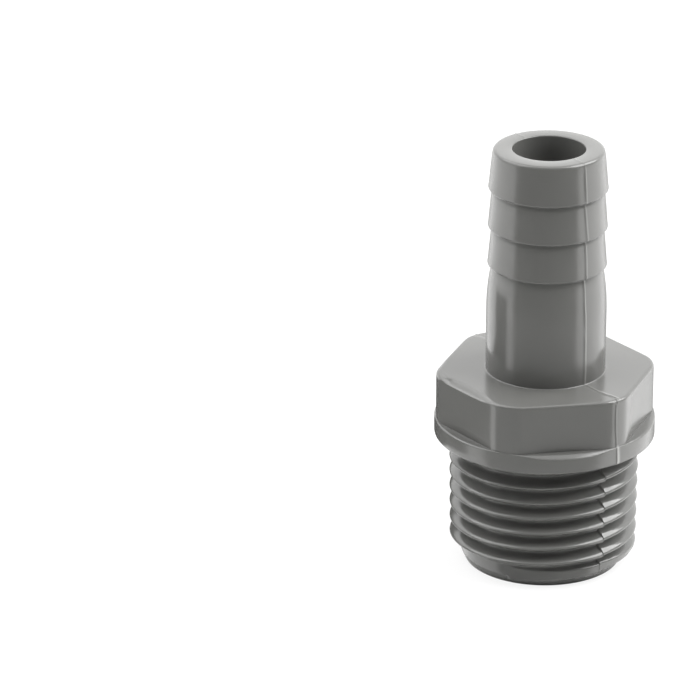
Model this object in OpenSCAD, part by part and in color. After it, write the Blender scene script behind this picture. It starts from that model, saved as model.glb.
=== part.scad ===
// Hose barb connector: a straight adapter moulded in one piece.
// It stands on its threaded end. The axis of every round form is Z, and the
// origin is the middle of the thread's end face. The hose tail points up.

/* [Hose tail] */
// Diameter of the top of the nose
nose_d = 12.1; // [11.4:0.1:12.3]
// Height from the first lip to the top of the nose
nose_h = 4.5; // [3:0.1:7]
// Diameter over the barb lips
lip_d = 12.95; // [12.7:0.05:13.6]
// Diameter at the foot of each barb
root_d = 12.2; // [11.8:0.05:12.5]
// Number of barbs, the nose among them
barb_count = 3; // [1:1:4]
// Distance from one lip to the next
barb_pitch = 4.35; // [3:0.05:6]
// Diameter of the neck under the last lip
neck_d = 12.35; // [11.8:0.05:12.6]
// Straight length of the neck
neck_h = 1.3; // [0.6:0.1:3]
// Diameter of the plain stem
stem_d = 13.1; // [12.6:0.05:15]
// Height over which the neck swells to the stem
flare_h = 4.4; // [2:0.1:8]
// Height of the plain stem above the hexagon
stem_h = 6.45; // [3:0.05:20]
// Rounding of the nose's outer edge
nose_edge_r = 0.45; // [0.1:0.05:0.8]
// Fillet where the stem meets the hexagon
stem_fillet_r = 0.3; // [0.1:0.05:1]

/* [Hexagon and collar] */
// Distance across the flats of the hexagon
hex_af = 22; // [21.2:0.1:23.6]
// Height of the flats
hex_h = 5.5; // [3:0.1:12]
// Turn of the hexagon about the axis, in degrees
hex_turn = 9; // [0:1:59]
// Rounding of the flats' top edges
hex_edge_r = 0.35; // [0.1:0.05:0.8]
// Rounding of the corners' top edges
corner_edge_r = 0.4; // [0.1:0.05:0.8]
// Diameter of the collar, which also rounds the hexagon's corners
collar_d = 24.2; // [23.8:0.1:25.2]
// Thickness of the collar under the flats
collar_h = 2.1; // [1:0.1:5]
// Rounding of the collar's lower edge
collar_edge_r = 0.25; // [0.1:0.05:0.6]

/* [Thread] */
// Length of the threaded end, from its face to the collar
thread_h = 14.8; // [10:0.1:20]
// Thread diameter over the crests, under the collar
crest_top_d = 20.9; // [20.6:0.05:21.4]
// Thread diameter over the crests, at the end
crest_end_d = 20.6; // [20.2:0.05:21]
// Distance from one crest to the next
thread_pitch = 1.814; // [1.4:0.002:2.4]
// Depth of the thread
thread_depth = 1.3; // [0.8:0.05:1.4]
// Width of a crest
crest_w = 0.22; // [0.1:0.02:0.4]
// Width of a root
root_w = 0.3; // [0.2:0.02:0.5]
// Diameter of the end face
end_d = 17; // [16:0.1:18]
// Height of the first crest's middle at the front, above the end face
first_crest_z = 1.5; // [1:0.05:2.5]
// Angle over which the first turn rises to its full depth
ramp_deg = 120; // [40:10:200]

/* [Flow bores] */
// Bore of the hose tail
tail_bore_d = 7.9; // [6:0.1:9]
// Bore of the threaded end
end_bore_d = 12; // [10:0.1:13.5]
// Depth of the threaded end's bore
end_bore_h = 17.5; // [12:0.1:19]
// Height of the taper that joins the two bores
bore_taper_h = 2.4; // [1:0.1:4]
// Chamfer at the mouth of each bore
bore_edge = 0.15; // [0.05:0.05:0.4]

/* [Hidden] */

body_colour = "#6f7070";
round_fn = 96;
edge_steps = 5;
flare_steps = 10;
cut = 1;

hex_z = thread_h + collar_h;
shoulder_z = hex_z + hex_h;
flare_z = shoulder_z + stem_h;
neck_z = flare_z + flare_h;
last_lip_z = neck_z + neck_h;
top_z = last_lip_z + barb_pitch * (barb_count - 1) + nose_h;

// Crest radius at height z, on the slight taper of the thread
function crest_r(z) = (crest_end_d + (crest_top_d - crest_end_d) * z / thread_h) / 2;
function thread_root_r(z) = crest_r(z) - thread_depth;

// Points of a quarter circle of radius r about [x, z], from angle a to angle b
function quarter(x, z, r, a, b) =
    [for (i = [0 : edge_steps]) let (t = a + (b - a) * i / edge_steps) [x + r * cos(t), z + r * sin(t)]];

// The stem narrows to the neck on a half wave
flare = [for (i = [0 : flare_steps]) let (t = i / flare_steps)
    [(stem_d + (neck_d - stem_d) * (1 - cos(180 * t)) / 2) / 2, flare_z + flare_h * t]];

// Each barb but the nose goes from its lip in to the foot of the next one
barbs = [for (k = [0 : 1 : barb_count - 2]) let (z = last_lip_z + barb_pitch * k)
    each [[lip_d / 2, z], [root_d / 2, z + barb_pitch]]];

module hose_tail() {
    rotate_extrude($fn = round_fn)
        polygon(concat(
            [[0, hex_z], [stem_d / 2 + stem_fillet_r, hex_z]],
            quarter(stem_d / 2 + stem_fillet_r, shoulder_z + stem_fillet_r, stem_fillet_r, 270, 180),
            flare,
            [[neck_d / 2, last_lip_z]],
            barbs,
            [[lip_d / 2, top_z - nose_h]],
            quarter(nose_d / 2 - nose_edge_r, top_z - nose_edge_r, nose_edge_r, 0, 90),
            [[0, top_z]]
        ));
}

// The turned blank: the collar, and the round that trims the hexagon's corners
module blank() {
    rotate_extrude($fn = round_fn)
        polygon(concat(
            [[0, thread_h]],
            quarter(collar_d / 2 - collar_edge_r, thread_h + collar_edge_r, collar_edge_r, 270, 360),
            quarter(collar_d / 2 - corner_edge_r, shoulder_z - corner_edge_r, corner_edge_r, 0, 90),
            [[0, shoulder_z]]
        ));
}

// A slab as wide as two opposite flats, with rounded top edges
module flats() {
    half = hex_af / 2;
    rotate([90, 0, 0])
        linear_extrude(height = collar_d + 2 * cut, center = true)
            polygon(concat(
                [[-half, hex_z], [half, hex_z]],
                quarter(half - hex_edge_r, shoulder_z - hex_edge_r, hex_edge_r, 0, 90),
                quarter(hex_edge_r - half, shoulder_z - hex_edge_r, hex_edge_r, 90, 180)
            ));
}

module hexagon() {
    intersection() {
        blank();
        rotate([0, 0, hex_turn + 90]) flats();
        rotate([0, 0, hex_turn + 150]) flats();
        rotate([0, 0, hex_turn + 210]) flats();
    }
}

module collar() {
    intersection() {
        blank();
        translate([0, 0, thread_h]) cylinder(h = collar_h, d = collar_d + cut, $fn = round_fn);
    }
}

module bores() {
    end_r = end_bore_d / 2;
    tail_r = tail_bore_d / 2;
    taper_z = end_bore_h + bore_taper_h;
    rotate_extrude($fn = round_fn)
        polygon([
            [0, -cut], [end_r + bore_edge, -cut], [end_r + bore_edge, 0], [end_r, bore_edge],
            [end_r, end_bore_h], [tail_r, taper_z],
            [tail_r, top_z - bore_edge], [tail_r + bore_edge, top_z], [tail_r + bore_edge, top_z + cut],
            [0, top_z + cut]
        ]);
}

// The threaded end without its ridge, down at the roots
module shank() {
    rotate_extrude($fn = round_fn)
        polygon([
            [0, 0], [end_d / 2, 0], [thread_root_r(0), thread_pitch / 2],
            [thread_root_r(thread_h), thread_h], [thread_root_r(thread_h), thread_h + collar_h], [0, thread_h + collar_h]
        ]);
}

// Everything under the crests, with the lead at 45 degrees
module crest_envelope() {
    lead_h = crest_end_d / 2 - end_d / 2;
    rotate_extrude($fn = round_fn)
        polygon([
            [0, 0], [end_d / 2, 0], [crest_r(lead_h), lead_h],
            [crest_r(thread_h), thread_h], [crest_r(thread_h), thread_h + collar_h], [0, thread_h + collar_h]
        ]);
}

// The helical ridge is a closed sweep of a four-cornered section. It starts a little
// to the left of the front, sinks into the shank and stands just proud of the
// envelope that trims its crest. It runs up into the collar.
ridge_steps = 36;
ridge_sink = 0.25;
ridge_over = 0.12;
ridge_least = 0.02;
front_deg = -90;
ridge_start = front_deg - 28;
ridge_run_in = 0.4 * thread_pitch;
ridge_h = thread_h + ridge_run_in - first_crest_z;
ridge_turns = ridge_h / thread_pitch - (ridge_start - front_deg) / 360;
ridge_n = floor(ridge_turns * ridge_steps);

function ridge_section(i) =
    let (
        a = ridge_start + 360 * i / ridge_steps,
        z = first_crest_z + thread_pitch * (a - front_deg) / 360,
        rise = min(1, (a - ridge_start) / ramp_deg),
        root = thread_root_r(z),
        inner = root - ridge_sink,
        outer = root + (thread_depth + ridge_over) * rise + ridge_least,
        slope = ((thread_pitch - root_w) / 2 - crest_w / 2) / thread_depth,
        inner_half = (thread_pitch - root_w) / 2 + ridge_sink * slope,
        outer_half = crest_w / 2 + (root + thread_depth - outer) * slope
    )
    [for (p = [[inner, -inner_half], [outer, -outer_half], [outer, outer_half], [inner, inner_half]])
        [p[0] * cos(a), p[0] * sin(a), z + p[1]]];

module ridge() {
    points = [for (i = [0 : ridge_n]) each ridge_section(i)];
    sides = [for (i = [0 : ridge_n - 1]) for (k = [0 : 3])
        let (a = 4 * i + k, b = 4 * i + (k + 1) % 4)
        each [[a, b, a + 4], [b, b + 4, a + 4]]];
    last = 4 * ridge_n;
    caps = [[0, 2, 1], [0, 3, 2], [last, last + 1, last + 2], [last, last + 2, last + 3]];
    polyhedron(points = points, faces = concat(sides, caps), convexity = 10);
}

module threaded_end() {
    union() {
        shank();
        intersection() {
            ridge();
            crest_envelope();
        }
    }
}

module connector_body() {
    color(body_colour)
        difference() {
            union() {
                hose_tail();
                hexagon();
                collar();
                threaded_end();
            }
            bores();
        }
}

connector_body();
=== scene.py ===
import math

import bmesh
import bpy
import numpy as np
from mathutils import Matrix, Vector


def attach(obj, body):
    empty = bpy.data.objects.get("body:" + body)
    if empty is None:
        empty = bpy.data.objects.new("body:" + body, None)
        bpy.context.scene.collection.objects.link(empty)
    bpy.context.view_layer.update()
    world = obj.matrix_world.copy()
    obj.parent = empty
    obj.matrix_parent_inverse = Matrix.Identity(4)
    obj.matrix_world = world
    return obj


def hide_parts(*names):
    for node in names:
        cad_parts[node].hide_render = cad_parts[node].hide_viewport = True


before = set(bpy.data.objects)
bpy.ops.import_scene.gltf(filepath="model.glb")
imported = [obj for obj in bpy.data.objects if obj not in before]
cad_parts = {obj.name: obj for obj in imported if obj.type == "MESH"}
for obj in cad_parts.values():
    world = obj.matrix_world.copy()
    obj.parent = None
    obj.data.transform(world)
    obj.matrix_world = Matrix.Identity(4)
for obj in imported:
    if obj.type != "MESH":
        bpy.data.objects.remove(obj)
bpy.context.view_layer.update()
print("frame loaded")

mm = 0.001


def hexToLinear(code):
    values = [int(code[i:i + 2], 16) / 255 for i in (1, 3, 5)]
    return [v / 12.92 if v <= 0.04045 else ((v + 0.055) / 1.055) ** 2.4 for v in values] + [1.0]


def addNode(tree, kind, settings=None, links=None):
    node = tree.nodes.new(kind)
    for name, value in (settings or {}).items():
        if isinstance(name, int) or name in node.inputs:
            node.inputs[name].default_value = value
        else:
            setattr(node, name, value)
    for name, source in (links or {}).items():
        tree.links.new(source, node.inputs[name])
    return node


# Lengths in mm, heights from the thread's end face. Angles in degrees from the
# front, the side that faces the camera, and growing to the right.

tail = dict(
    noseTop=12.1, noseEdge=0.4, noseRing=5.0, lip=12.95, lipEdge=0.2, foot=12.2,
    lips=(34.55, 38.9, 43.25), top=47.75,
    # a slight undercut draws the line under each lip: how far in, and how far below the lip
    underLip=((0.0, 0.36), (0.05, 0.22), (0.07, 0.1), (0.04, -0.02)),
    neck=12.35, neckTaper=0.16, neckStart=33.25,
    # the stem draws in on a curve up to this share of the flare, and then straight
    flareStart=28.85, flareCurve=2.3, flareBreak=0.85, flareSteps=12,
    stem=13.1, stemFillet=0.12,
)

grip = dict(
    # each flat: the direction it faces and its distance from the axis
    flats=((-53.5, 11.12), (9, 11.0), (69, 11.0), (126.5, 11.12), (189, 11.0), (249, 11.0)),
    corner=24.2, cornerBlend=0.3,
    shoulder=22.4, topEdge=0.34,
    # worn edges: the largest radius, where round the axis it lies, and at which lean of the
    # edge, from upright to level, it is widest
    wornTop=dict(size=1.5, at=-60.0, span=30.0, lean=64.0, bend=20.0),
    wornLedge=dict(size=1.5, at=12.0, span=30.0, lean=50.0, bend=14.0),
    wornEnds=0.12,
    # the wear of the top edge goes on round the left corner
    wornCorner=dict(share=0.7, at=-82.0, span=14.0),
    ledge=16.9, ledgeEdge=0.25, ledgeFillet=0.02, leastLedge=0.03,
    # the front flats sink in a little above the ledge
    sink=0.1, sinkHeight=0.9, sinkAt=-22.0, sinkSpan=60.0,
    sinkRows=(17.2, 17.4, 17.65, 17.95, 18.3, 18.8, 19.6, 21.0),
    bottom=14.8, bottomEdge=0.25, bottomRing=11.3,
)

thread = dict(
    pitch=1.814, depth=1.3, crest=0.22, root=0.3, soften=0.095,
    crestTop=20.9, crestEnd=20.6, endFace=17.15, endEdge=0.05, leadBlend=0.03,
    firstCrest=1.5, start=-28.0, ramp=120.0, fillet=0.12,
    # near the parting lines the mould keeps metal back, so the flanks are thicker;
    # above a crest the thicker part slopes back at 45 degrees and catches the light
    upperFill=0.26, upperRun=28.0, bevel=1.0, lowerFill=0.2, lowerRun=18.0, flashShare=0.7,
    # rows of the mesh in each turn, in pitches from the crest, and the turns they are laid for
    rows=(-0.5, -0.44, -0.36, -0.25, -0.14, -0.08, -0.035, 0,
        0.035, 0.08, 0.14, 0.2, 0.26, 0.33, 0.39, 0.45),
    turns=(-2, 10), rowMargin=0.03,
)

bore = dict(
    tailBore=7.9, endBore=12.0, endDepth=17.5, taper=2.4, edge=0.15,
    tailRows=(46.0, 42.0, 36.0, 30.0, 25.0), endRows=(13.0, 8.0, 3.0),
)

parting = dict(
    # on the tail the ridge is wide to the left of the joint and narrow to its right
    line=37.6, width=0.1, tailWidths=(0.19, 0.085), height=0.06, slip=0.02, slipRun=6, waver=1.7,
    # the joint wanders a little on its way up, and bends across the hexagon's top
    heights=(0, 16, 20.8, 24, 27, 32, 36.5, 41, 43.5, 47.75),
    drift=(0.4, 0.5, -0.9, 0.6, 0, -0.7, 1.4, 0.7, -1.2, -1.0),
    topRadii=(6.6, 7.1, 8.0, 9.1, 10.7, 11.8), topBend=(2.0, 1.0, -0.5, 0.4, 1.8, 2.4),
    # a painted highlight: paler colour a little to the right of the joint, where its ridge
    # catches the light; the height, how far aside, how wide and how strong
    paintedHighlight=(
        (14.8, 0.22, 0.2, 0.5), (16.8, 0.22, 0.2, 0.5), (17.2, 0.12, 0.12, 0.0),
        (22.2, 0.12, 0.12, 0.0), (22.4, 0.12, 0.12, 0.2), (28, 0.12, 0.12, 0.22),
        (33, 0.12, 0.12, 0.1), (47.0, 0.12, 0.12, 0.1), (47.4, 0.12, 0.12, 0.0),
    ),
    highlightFrom=4.2,
)

mesh = dict(
    # columns round the axis: the plain step, the fine ones from, to and apart at a parting
    # line, and those beside a corner of the hexagon
    step=1.8, atLine=(-2.2, 3.9, 0.2), atCorner=(-3.4, -2.2, -1.3, -0.4, 0.4, 1.3, 2.2, 3.4),
    weld=0.0004, normalWeight=50,
)


def smoothMin(a, b, blend):
    return 0.5 * (a + b - np.sqrt((a - b) ** 2 + blend ** 2))


def columnAngles():
    special = []
    for line in (parting["line"], parting["line"] - 180):
        special += [line + d for d in np.arange(*mesh["atLine"])]
    for facing, distance in grip["flats"]:
        crease = math.degrees(math.acos(2 * distance / grip["corner"]))
        for side in (-crease, crease):
            special += [facing + side + d for d in mesh["atCorner"]]
    special = np.mod(np.array(special) + 180, 360) - 180
    plain = np.arange(-180, 180, mesh["step"])
    gap = np.abs((plain[:, None] - special[None, :] + 180) % 360 - 180).min(axis=1)
    return np.sort(np.concatenate([plain[gap > 0.3 * mesh["step"]], special]))


angles = columnAngles()
pastLine = np.mod(angles - parting["line"], 180)          # degrees past the last parting line


def flash(radius, height, bend=0.0):
    # the fine ridge where the mould halves met, and the slip of one half against the other
    drift = np.interp(height, parting["heights"], parting["drift"]) + bend
    past = np.mod(angles - parting["line"] - drift, 180)
    toLine = np.minimum(past, 180 - past)
    width = np.full(len(angles), parting["width"])
    if np.mean(height) > grip["shoulder"] + 0.05:
        width = np.where(past < 90, parting["tailWidths"][1], parting["tailWidths"][0])
    ridge = np.exp(-(np.radians(toLine) * radius / width) ** 2)
    waver = 0.75 + 0.25 * np.sin(height * parting["waver"] + 0.6 * np.sin(height * 4.3))
    slip = parting["slip"] * np.where(past < 90, np.exp(-past / parting["slipRun"]), 0)
    return parting["height"] * waver * ridge + slip


def crestRadius(z):
    t = thread
    return (t["crestEnd"] + (t["crestTop"] - t["crestEnd"]) * z / grip["bottom"]) / 2


def ridgeShape(s):
    # one ridge across its width: 1 on the crest, 0 at the root, with softened corners
    t = thread
    halfCrest, halfRoot = t["crest"] / 2, (t["pitch"] - t["root"]) / 2
    shifts = [s + share * t["soften"] for share in (-1.5, -0.75, 0, 0.75, 1.5)]
    ridges = [np.clip((halfRoot - np.abs(x)) / (halfRoot - halfCrest), 0, 1) for x in shifts]
    return sum(ridges) / len(ridges)


def threadRadius(z):
    t = thread
    root = crestRadius(z) - t["depth"]
    turns = (z - t["firstCrest"]) / t["pitch"] - angles / 360
    nearest = np.round(turns)
    radius = root.copy()
    upper = t["upperFill"] * np.clip(1 - pastLine / t["upperRun"], 0, 1)
    lower = t["lowerFill"] * np.clip(1 - (180 - pastLine) / t["lowerRun"], 0, 1)
    for n in (nearest - 1, nearest, nearest + 1):
        s = (turns - n) * t["pitch"]
        slope = 1 - np.maximum(s - t["crest"] / 2, 0) * t["bevel"] / t["depth"]
        s = np.where(s > 0, np.maximum(s - upper, 0), np.minimum(s + lower, 0))
        rise = np.clip((angles + 360 * n - t["start"]) / t["ramp"], 0, 1)
        ridge = np.minimum(np.minimum(ridgeShape(s), slope), rise)
        radius = np.maximum(radius, root + t["depth"] * ridge)
    # the lowest half pitch narrows to the end face
    face, leadHeight = t["endFace"] / 2, t["pitch"] / 2
    pilot = face + (crestRadius(0) - t["depth"] - face) * np.clip(z / leadHeight, 0, 1)
    onLead = np.maximum(pilot, np.where(radius > root, radius, pilot))
    radius = np.where(z < leadHeight, onLead, radius)
    return smoothMin(radius + flash(radius, z) * t["flashShare"], face + z, t["leadBlend"])


def gripRadius():
    radius = np.full_like(angles, grip["corner"] / 2)
    for facing, distance in grip["flats"]:
        across = np.maximum(np.cos(np.radians(angles - facing)), 0.5)
        radius = smoothMin(radius, distance / across, grip["cornerBlend"])
    return radius


class Outline:
    # rows of points round the axis, from the thread's end face up the outside and down the bore
    def __init__(self):
        self.rows = []

    def ring(self, radius, height, wall=0.0, top=0.0, bend=0.0):
        # wall and top say how much of the flash stands out sideways and upwards
        ones = np.ones_like(angles)
        radius, height = radius * ones, height * ones
        mark = flash(radius, height, bend)
        self.rows.append((radius + wall * mark, height + top * mark))

    def arc(self, radius, height, size, first, last, steps, **marks):
        for i in range(steps + 1):
            a = math.radians(first + (last - first) * i / steps)
            self.ring(radius + size * math.cos(a), height + size * math.sin(a), **marks)


def edgeRound(size, wear, share):
    # points of a rounded edge, inward and upward from its foot; it is wide where it is worn
    steps, along, up = 12, np.zeros_like(angles), np.zeros_like(angles)
    worn = share * np.exp(-((angles - wear["at"]) / wear["span"]) ** 4)
    inward, upward = [along], [up]
    for i in range(steps):
        lean = 90 * (i + 0.5) / steps
        widest = math.exp(-((lean - wear["lean"]) / wear["bend"]) ** 4)
        wide = grip["wornEnds"] + wear["size"] * widest
        length = (size + (wide - size) * worn) * math.radians(90 / steps)
        along = along + length * math.sin(math.radians(lean))
        up = up + length * math.cos(math.radians(lean))
        inward.append(along)
        upward.append(up)
    return inward, upward


def lowerRings(outline):
    t, edge = thread, thread["endEdge"]
    outline.ring((bore["endBore"] / 2 + t["endFace"] / 2) / 2, 0)
    outline.arc(t["endFace"] / 2 - edge, edge, edge, 270, 330, 3)


def collarRings(outline):
    g, fillet = grip, thread["fillet"]
    corner, edge = g["corner"] / 2, g["bottomEdge"]
    neckIn = threadRadius(np.full_like(angles, g["bottom"] - fillet))
    outline.ring(neckIn + 0.3 * fillet, g["bottom"] - 0.3 * fillet)
    outline.ring(neckIn + fillet, g["bottom"])
    outline.ring(g["bottomRing"], g["bottom"])
    outline.arc(corner - edge, g["bottom"] + edge, edge, 270, 360, 4, wall=1)
    outline.ring(corner, (g["bottom"] + g["ledge"]) / 2, wall=1)


def hexagonRings(outline):
    # returns the inner end of the top edge
    g = grip
    corner, flat = g["corner"] / 2, gripRadius()
    depth = (corner - flat) / (corner - flat.min())
    sunk = flat - g["sink"] * depth * np.exp(-((angles - g["sinkAt"]) / g["sinkSpan"]) ** 4)
    foot = np.where(corner - flat < g["leastLedge"], corner, sunk)      # no ledge at the corners
    edge = np.minimum(g["ledgeEdge"], (corner - foot) / 3)
    fillet = np.minimum(g["ledgeFillet"], (corner - foot) / 2.5)
    inward, upward = edgeRound(edge, g["wornLedge"], depth)
    fit = np.minimum(1, 0.75 * (corner - foot + 0.001) / inward[-1])    # keeps it on the ledge
    for along, up in zip(inward[:-1], upward[:-1]):
        outline.ring(corner - along * fit, g["ledge"] - (upward[-1] - up) * fit, wall=1)
    outline.arc(foot + fillet, g["ledge"] + fillet, fillet, 270, 180, 3, wall=1)
    for height in g["sinkRows"]:
        sinking = math.exp(-((height - g["ledge"]) / g["sinkHeight"]) ** 2)
        outline.ring(flat + (foot - flat) * sinking, height, wall=1)
    left = g["wornCorner"]
    atLeft = left["share"] * np.exp(-((angles - left["at"]) / left["span"]) ** 4)
    worn = np.maximum(np.clip((corner - flat - 0.05) / 0.5, 0, 1), atLeft)
    inward, upward = edgeRound(g["topEdge"], g["wornTop"], worn)
    under = g["shoulder"] - upward[-1]
    outline.ring(flat, under - 0.15, wall=1)
    bend = parting["topBend"][-1] * 0.3
    for along, up in zip(inward, upward):
        outline.ring(flat - along, under + up, wall=0.7, top=0.5, bend=bend)
    return flat - inward[-1]


def stemRings(outline, inner):
    # across the hexagon's top, then up the stem to the neck
    t, shoulder = tail, grip["shoulder"]
    stem, fillet = t["stem"] / 2, t["stemFillet"]
    for share in (0.06, 0.2, 0.4, 0.6, 0.8, 0.93):
        radius = inner * (1 - share) + (stem + fillet) * share
        bend = np.interp(radius, parting["topRadii"], parting["topBend"])
        outline.ring(radius, shoulder, top=1, bend=bend)
    outline.arc(stem + fillet, shoulder + fillet, fillet, 270, 180, 5, wall=0.6, top=0.4)
    for height in (24.0, 25.6, 27.2, 28.2):
        outline.ring(stem, height, wall=1)
    neck, straight = (t["neck"] + t["neckTaper"]) / 2, 1 - t["flareBreak"]
    for i in range(t["flareSteps"] + 1):
        share = i / t["flareSteps"]
        pull = min(share, t["flareBreak"]) ** t["flareCurve"]
        pull += (1 - pull) * max(share - t["flareBreak"], 0) / straight
        height = t["flareStart"] + (t["neckStart"] - t["flareStart"]) * share
        outline.ring(stem + (neck - stem) * pull, height, wall=1)


def barbRings(outline):
    t = tail
    lip, edge = t["lip"] / 2, t["lipEdge"]
    below = (t["neck"] - t["neckTaper"]) / 2
    tops = (t["foot"] / 2, t["foot"] / 2, t["noseTop"] / 2)
    ends = (*t["lips"][1:], t["top"])
    for height, above, end in zip(t["lips"], tops, ends):
        slope = (above - lip) / (end - height)
        for inward, drop in t["underLip"]:
            outline.ring(below - inward, height - drop, wall=0.8)
        last = 360 - math.degrees(math.atan(slope))
        outline.arc(lip - edge, height + edge, edge, 270, last, 6, wall=0.8)
        for share in (0.09, 0.35, 0.65, 0.85):
            rise = (end - height) * share
            outline.ring(lip + slope * rise, height + rise, wall=1)
        below = above


def boreRings(outline):
    # the top of the nose, and down through both bores
    top, edge = tail["top"], tail["noseEdge"]
    outline.arc(tail["noseTop"] / 2 - edge, top - edge, edge, 0, 90, 6, wall=0.7, top=0.4)
    outline.ring(tail["noseRing"], top, top=0.6)
    inner, outer, rim = bore["tailBore"] / 2, bore["endBore"] / 2, bore["edge"]
    outline.arc(inner + rim, top - rim, rim, 90, 180, 4, top=0.3)
    for height in (*bore["tailRows"], bore["endDepth"] + bore["taper"]):
        outline.ring(inner, height)
    for height in (bore["endDepth"], *bore["endRows"]):
        outline.ring(outer, height)
    outline.arc(outer + rim, rim, rim, 180, 270, 4)


def paintedHighlightMark(radius, height, azimuth):
    # 1 where the painted highlight beside the joint is strongest, 0 away from it
    p = parting
    onTop = (np.abs(height - grip["shoulder"]) < 0.1) & (radius > p["topRadii"][0])
    drift = np.interp(height, p["heights"], p["drift"])
    drift = drift + onTop * np.interp(radius, p["topRadii"], p["topBend"])
    past = np.mod(azimuth - p["line"] - drift + 90, 180) - 90
    heights, *rest = zip(*p["paintedHighlight"])
    aside, width, level = [np.interp(height, heights, column) for column in rest]
    mark = np.exp(-((np.radians(past) * radius - aside) / width) ** 2)
    return mark * level * (height > grip["bottom"]) * (radius > p["highlightFrom"])


def buildBody():
    lower, upper = Outline(), Outline()
    t = thread
    low, high = t["endEdge"] * 0.5, grip["bottom"] - t["fillet"]
    count = len(angles)
    first, last = np.full(count, low), np.full(count, high)
    lowerRings(lower)
    lower.rows.append((threadRadius(first), first))
    upper.rows.append((threadRadius(last), last))
    collarRings(upper)
    stemRings(upper, hexagonRings(upper))
    barbRings(upper)
    boreRings(upper)

    points, lowerIds, upperIds = [], [], []
    for rows, ids in ((lower.rows, lowerIds), (upper.rows, upperIds)):
        for radius, height in rows:
            ids.append(len(points) + np.arange(count))
            points += list(zip(radius, height, angles))

    # rows that follow the helix; where one leaves the thread it ends on the nearest ring
    perTurn = len(t["rows"])
    bottomEnd, topEnd = low + t["rowMargin"], high - t["rowMargin"]
    helixIds = []
    for n in range(*t["turns"]):
        for share in t["rows"]:
            z = t["firstCrest"] + t["pitch"] * (n + share + angles / 360)
            ids = np.where(z <= bottomEnd, lowerIds[-1], upperIds[0])
            radius = threadRadius(np.clip(z, low, high))
            for j in np.nonzero((z > bottomEnd) & (z < topEnd))[0]:
                ids[j] = len(points)
                points.append((radius[j], z[j], angles[j]))
            helixIds.append(ids)

    faces = []

    def strip(rowA, rowB, nextA, nextB):
        # nextA and nextB are what the two rows meet where they close after a full turn
        a, b = np.append(rowA, nextA), np.append(rowB, nextB)
        for j in range(count):
            loop = []
            for v in (a[j], a[j + 1], b[j + 1], b[j]):
                if v not in loop:
                    loop.append(int(v))
            if len(loop) > 2:
                faces.append(loop)

    for a, b in zip(lowerIds[:-1], lowerIds[1:]):
        strip(a, b, a[0], b[0])
    after = [ids[0] for ids in helixIds[perTurn:]] + [upperIds[0][0]] * perTurn
    for k in range(len(helixIds) - 1):
        strip(helixIds[k], helixIds[k + 1], after[k], after[k + 1])
    for a, b in zip(upperIds[:-1], upperIds[1:]):
        strip(a, b, a[0], b[0])
    strip(upperIds[-1], lowerIds[0], upperIds[-1][0], lowerIds[0][0])

    data = np.array(points)
    radius, height, turn = data[:, 0], data[:, 1], np.radians(data[:, 2])
    coords = np.stack([radius * np.sin(turn), -radius * np.cos(turn), height], axis=1) * mm
    shape = bpy.data.meshes.new("moulded_body")
    shape.from_pydata(coords.tolist(), [], faces)
    # the painted highlight beside the parting line, stored on each point for the material
    paintedHighlight = shape.attributes.new("paintedHighlight", "FLOAT", "POINT")
    paintedHighlight.data.foreach_set("value", paintedHighlightMark(*data.T))
    body = bpy.data.objects.new("moulded_body", shape)
    bpy.context.scene.collection.objects.link(body)
    edit = bmesh.new()
    edit.from_mesh(shape)
    bmesh.ops.remove_doubles(edit, verts=edit.verts, dist=mesh["weld"] * mm)
    bmesh.ops.dissolve_degenerate(edit, edges=edit.edges, dist=mesh["weld"] * mm)
    loose = sum(1 for e in edit.edges if not e.is_manifold)
    triangles = sum(len(f.verts) - 2 for f in edit.faces)
    edit.to_mesh(shape)
    edit.free()
    shape.shade_smooth()
    even = body.modifiers.new("even normals", "WEIGHTED_NORMAL")
    even.weight = mesh["normalWeight"]
    print("body mesh:", triangles, "triangles,", loose, "open edges")
    return body


body = buildBody()
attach(body, "root")
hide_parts("connector_body")


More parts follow.
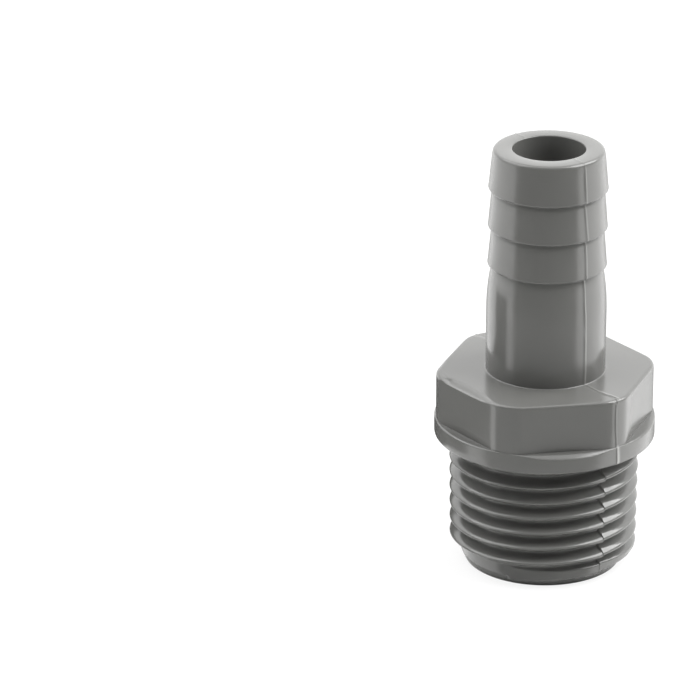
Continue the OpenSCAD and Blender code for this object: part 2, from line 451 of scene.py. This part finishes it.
def mouldedPlastic():
    # Injection-moulded grey polypropylene. A polished mould gives clear reflections, a slight
    # orange peel and shallow flow marks; the colour is even, but for a painted highlight: a
    # paler band beside the parting line stands in for the light that its ridge catches.
    settings = dict(
        # the third colour is the painted highlight along the parting line
        colour="#585856", darker="#545452", paintedHighlight="#a6a6a3", ior=1.5, roughness=(0.15, 0.23),
        # each noise: how large its spots are and its detail
        noises=dict(cloud=(7, 3.0), smear=(2.2, 4.0), peel=(1.1, 2.0), flow=(6.0, 1.0)),
        # the noises that shape the surface, and how deep
        bumps=dict(flow=0.008, peel=0.0012),
    )
    material = bpy.data.materials.new("injection_moulded_grey_polypropylene")
    material.use_nodes = True
    tree = material.node_tree
    tree.nodes.clear()
    place = addNode(tree, "ShaderNodeTexCoord").outputs["Object"]
    noises = {}
    for name, (size, detail) in settings["noises"].items():
        look = {"Scale": 1 / (size * mm), "Detail": detail}
        noises[name] = addNode(tree, "ShaderNodeTexNoise", look, {"Vector": place}).outputs["Fac"]

    tones = {6: hexToLinear(settings["darker"]), 7: hexToLinear(settings["colour"])}
    tone = addNode(
        tree, "ShaderNodeMix", {"data_type": "RGBA", **tones}, {0: noises["cloud"]})
    # how much of the painted highlight colour to mix in beside the parting line
    highlightShare = addNode(tree, "ShaderNodeAttribute", {"attribute_name": "paintedHighlight"})
    colour = addNode(
        tree, "ShaderNodeMix", {"data_type": "RGBA", 7: hexToLinear(settings["paintedHighlight"])},
        {0: highlightShare.outputs["Fac"], 6: tone.outputs[2]})

    smooth, dull = settings["roughness"]
    spread = {"From Min": 0.3, "From Max": 0.7, "To Min": smooth, "To Max": dull}
    rough = addNode(tree, "ShaderNodeMapRange", spread, {"Value": noises["smear"]})
    surface = {}
    for name, depth in settings["bumps"].items():
        bump = addNode(
            tree, "ShaderNodeBump", {"Distance": depth * mm, "Strength": 1.0},
            {"Height": noises[name], **surface})
        surface = {"Normal": bump.outputs["Normal"]}
    shader = addNode(
        tree, "ShaderNodeBsdfPrincipled", {"IOR": settings["ior"]},
        {"Base Color": colour.outputs[2], "Roughness": rough.outputs["Result"], **surface})
    addNode(tree, "ShaderNodeOutputMaterial", None, {"Surface": shader.outputs["BSDF"]})
    return material


body.data.materials.append(mouldedPlastic())

# Two soft boxes stand left and right of a white table with a white sheet behind it.
# The room in front, round the camera, is dark, so the front mirrors a dark band.
studio = dict(
    floorRadius=1500, footprint=9.6, floorSides=90, floorColour="#ebebeb", floorGlow=0.84,
    backdrop="#ffffff",
    # the boxes' distance, size and aim are in metres
    boxes=dict(
        left=dict(toward=-90, up=46, away=0.65, size=(0.60, 0.50), radiance=4.1),
        right=dict(toward=90, up=46, away=0.65, size=(0.60, 0.50), radiance=8.9),
    ),
    aim=(0, 0, 0.02),
    # each panel of the room: from and to, degrees round from the front and up from the
    # horizon, then how softly the two ends fade
    panels=dict(
        tableFront=dict(level=0.5, toward=(-68, 57.5, 6, 6), up=(-44, -17, 12, 6)),
        tableLeft=dict(level=2.2, toward=(-155.25, -68, 30, 6), up=(-44, 0, 12, 6)),
        tableRight=dict(level=2.5, toward=(57.5, 144.75, 6, 30), up=(-44, 0, 12, 6)),
        tableBack=dict(level=0.5, toward=(144.75, 204.75, 30, 30), up=(-44, -18, 12, 8)),
        sweep=dict(level=1.3, toward=(144.75, 204.75, 30, 30), up=(-18, 0, 8, 6)),
        nearFoot=dict(level=0.5, toward=(-200, 200, 1, 1), up=(-100, -44, 1, 12)),
        sheet=dict(level=1.87, toward=(106.25, 243.25, 13, 13), up=(0, 47, 6, 10)),
        sheetLeft=dict(level=1.0, toward=(-172, -108, 16, 16), up=(28, 56, 8, 8)),
        wallLeft=dict(level=1.1, toward=(-116.75, -67.5, 13, 15), up=(0, 23, 6, 10)),
        ceiling=dict(level=2.6, toward=(-200, 200, 1, 1), up=(60, 100, 10, 1)),
    ),
    # a low dark card on the left, bent and lower towards the back, draws the edge of the stem
    card=dict(
        points=((-41, -9), (-37, 12), (-10, 27)), heights=(24.5, 12.5),
        colour="#161616", roughness=0.9,
    ),
)


def paleFloor():
    # a white sweep: it takes the shadow, and the camera sees it a little lifted
    material = bpy.data.materials.new("white_paper_sweep")
    material.use_nodes = True
    tree = material.node_tree
    tree.nodes.clear()
    seen = addNode(tree, "ShaderNodeLightPath").outputs["Is Camera Ray"]
    paper = addNode(tree, "ShaderNodeBsdfDiffuse", {"Color": hexToLinear(studio["floorColour"])})
    white = {"Color": hexToLinear(studio["backdrop"]), "Strength": 1.0}
    glow = addNode(tree, "ShaderNodeEmission", white)
    lift = {"operation": "MULTIPLY", 1: studio["floorGlow"]}
    share = addNode(tree, "ShaderNodeMath", lift, {0: seen})
    parts = {0: share.outputs[0], 1: paper.outputs[0], 2: glow.outputs[0]}
    both = addNode(tree, "ShaderNodeMixShader", None, parts)
    addNode(tree, "ShaderNodeOutputMaterial", None, {"Surface": both.outputs[0]})
    return material


def stageSheet(name, points, faces, material):
    shape = bpy.data.meshes.new(name)
    shape.from_pydata([[v * mm for v in point] for point in points], [], faces)
    shape.materials.append(material)
    made = bpy.data.objects.new(name, shape)
    bpy.context.scene.collection.objects.link(made)
    return made


# Glossy rays pass the floor, and meet the table top and the room that the world draws.
# Only the floor right under the connector mirrors in it.
sides = studio["floorSides"]
around = [math.radians(360 / sides * i) for i in range(sides)]
inside, outside = [
    [(size * math.cos(a), size * math.sin(a), 0) for a in around]
    for size in (studio["footprint"], studio["floorRadius"])]
paper = paleFloor()
stageSheet("floor_under_foot", inside, [tuple(range(sides))], paper)
bands = [(i, sides + i, sides + (i + 1) % sides, (i + 1) % sides) for i in range(sides)]
floor = stageSheet("floor", inside + outside, bands, paper)
floor.visible_glossy = False

card = studio["card"]
blackCard = bpy.data.materials.new("black_card")
blackCard.use_nodes = True
look = blackCard.node_tree.nodes["Principled BSDF"].inputs
look["Base Color"].default_value = hexToLinear(card["colour"])
look["Roughness"].default_value = card["roughness"]
corners, leaves = [], []
for (x0, y0), (x1, y1), height in zip(card["points"], card["points"][1:], card["heights"]):
    leaves.append(tuple(range(len(corners), len(corners) + 4)))
    corners += [(x0, y0, 0), (x1, y1, 0), (x1, y1, height), (x0, y0, height)]
flag = stageSheet("low_card", corners, leaves, blackCard)
flag.visible_camera = flag.visible_diffuse = flag.visible_shadow = False


def roomWorld():
    # the camera sees plain white; the rest see the panels, whose levels add up
    world = bpy.data.worlds.new("studio_room")
    world.use_nodes = True
    tree = world.node_tree
    tree.nodes.clear()
    place = addNode(tree, "ShaderNodeTexCoord").outputs["Generated"]
    way = addNode(tree, "ShaderNodeSeparateXYZ", None, {0: place}).outputs
    front = addNode(tree, "ShaderNodeMath", {"operation": "MULTIPLY", 1: -1.0}, {0: way["Y"]})
    turned = addNode(
        tree, "ShaderNodeMath", {"operation": "ARCTAN2"}, {0: way["X"], 1: front.outputs[0]})
    raised = addNode(tree, "ShaderNodeMath", {"operation": "ARCSINE"}, {0: way["Z"]})
    degrees = {}
    for name, angle in (("toward", turned), ("up", raised)):
        scaled = addNode(
            tree, "ShaderNodeMath", {"operation": "DEGREES"}, {0: angle.outputs[0]})
        degrees[name] = scaled.outputs[0]
    total = None
    for panel in studio["panels"].values():
        share = None
        for name, angle in degrees.items():
            low, high, softLow, softHigh = panel[name]
            middle = {"operation": "SUBTRACT", 1: (low + high) / 2}
            away = addNode(tree, "ShaderNodeMath", middle, {0: angle})
            circle = {"operation": "WRAP", 1: 180.0, 2: -180.0}
            away = addNode(tree, "ShaderNodeMath", circle, {0: away.outputs[0]})
            half = (high - low) / 2
            for at, soft, start in ((-half, softLow, 0.0), (half, softHigh, 1.0)):
                fade = {
                    "interpolation_type": "SMOOTHSTEP",
                    "From Min": at - soft / 2, "From Max": at + soft / 2,
                    "To Min": start, "To Max": 1 - start,
                }
                edge = addNode(tree, "ShaderNodeMapRange", fade, {"Value": away.outputs[0]})
                edge = edge.outputs["Result"]
                if share is None:
                    share = edge
                else:
                    product = {"operation": "MULTIPLY"}
                    share = addNode(tree, "ShaderNodeMath", product, {0: share, 1: edge}).outputs[0]
        added = {"operation": "MULTIPLY_ADD", 1: panel["level"], 2: 0.0}
        links = {0: share} if total is None else {0: share, 2: total}
        total = addNode(tree, "ShaderNodeMath", added, links).outputs[0]
    seen = addNode(tree, "ShaderNodeLightPath").outputs["Is Camera Ray"]
    plain = {"data_type": "FLOAT", 3: 1.0}
    level = addNode(tree, "ShaderNodeMix", plain, {0: seen, 2: total}).outputs[0]
    white = {"Color": hexToLinear(studio["backdrop"])}
    sky = addNode(tree, "ShaderNodeBackground", white, {"Strength": level})
    addNode(tree, "ShaderNodeOutputWorld", None, {"Surface": sky.outputs[0]})
    return world


bpy.context.scene.world = roomWorld()

for name, box in studio["boxes"].items():
    lamp = bpy.data.lights.new(name + "_soft_box", "AREA")
    lamp.shape = "RECTANGLE"
    lamp.size, lamp.size_y = box["size"]
    lamp.energy = box["radiance"] * math.pi * box["size"][0] * box["size"][1]
    holder = bpy.data.objects.new(name + "_soft_box", lamp)
    toward, up = math.radians(box["toward"]), math.radians(box["up"])
    level = math.cos(up)
    out = Vector((math.sin(toward) * level, -math.cos(toward) * level, math.sin(up)))
    holder.location = out * box["away"] + Vector(studio["aim"])
    holder.rotation_euler = (-out).to_track_quat("-Z", "Y").to_euler()
    bpy.context.scene.collection.objects.link(holder)
print("floor and lights placed")

view = dict(place=(-21.34, -463.08, 215.65), down=22.447, lens=236.2, sensor=36.0, clip=(0.01, 20))
camera = bpy.data.cameras.new("camera")
camera.sensor_width = view["sensor"]
camera.lens = view["lens"]
camera.clip_start, camera.clip_end = view["clip"]
shot = bpy.data.objects.new("camera", camera)
shot.location = [v * mm for v in view["place"]]
shot.rotation_euler = (math.radians(90 - view["down"]), 0, 0)
bpy.context.scene.collection.objects.link(shot)
bpy.context.scene.camera = shot
bpy.context.scene.view_settings.view_transform = "Standard"
print("camera set")
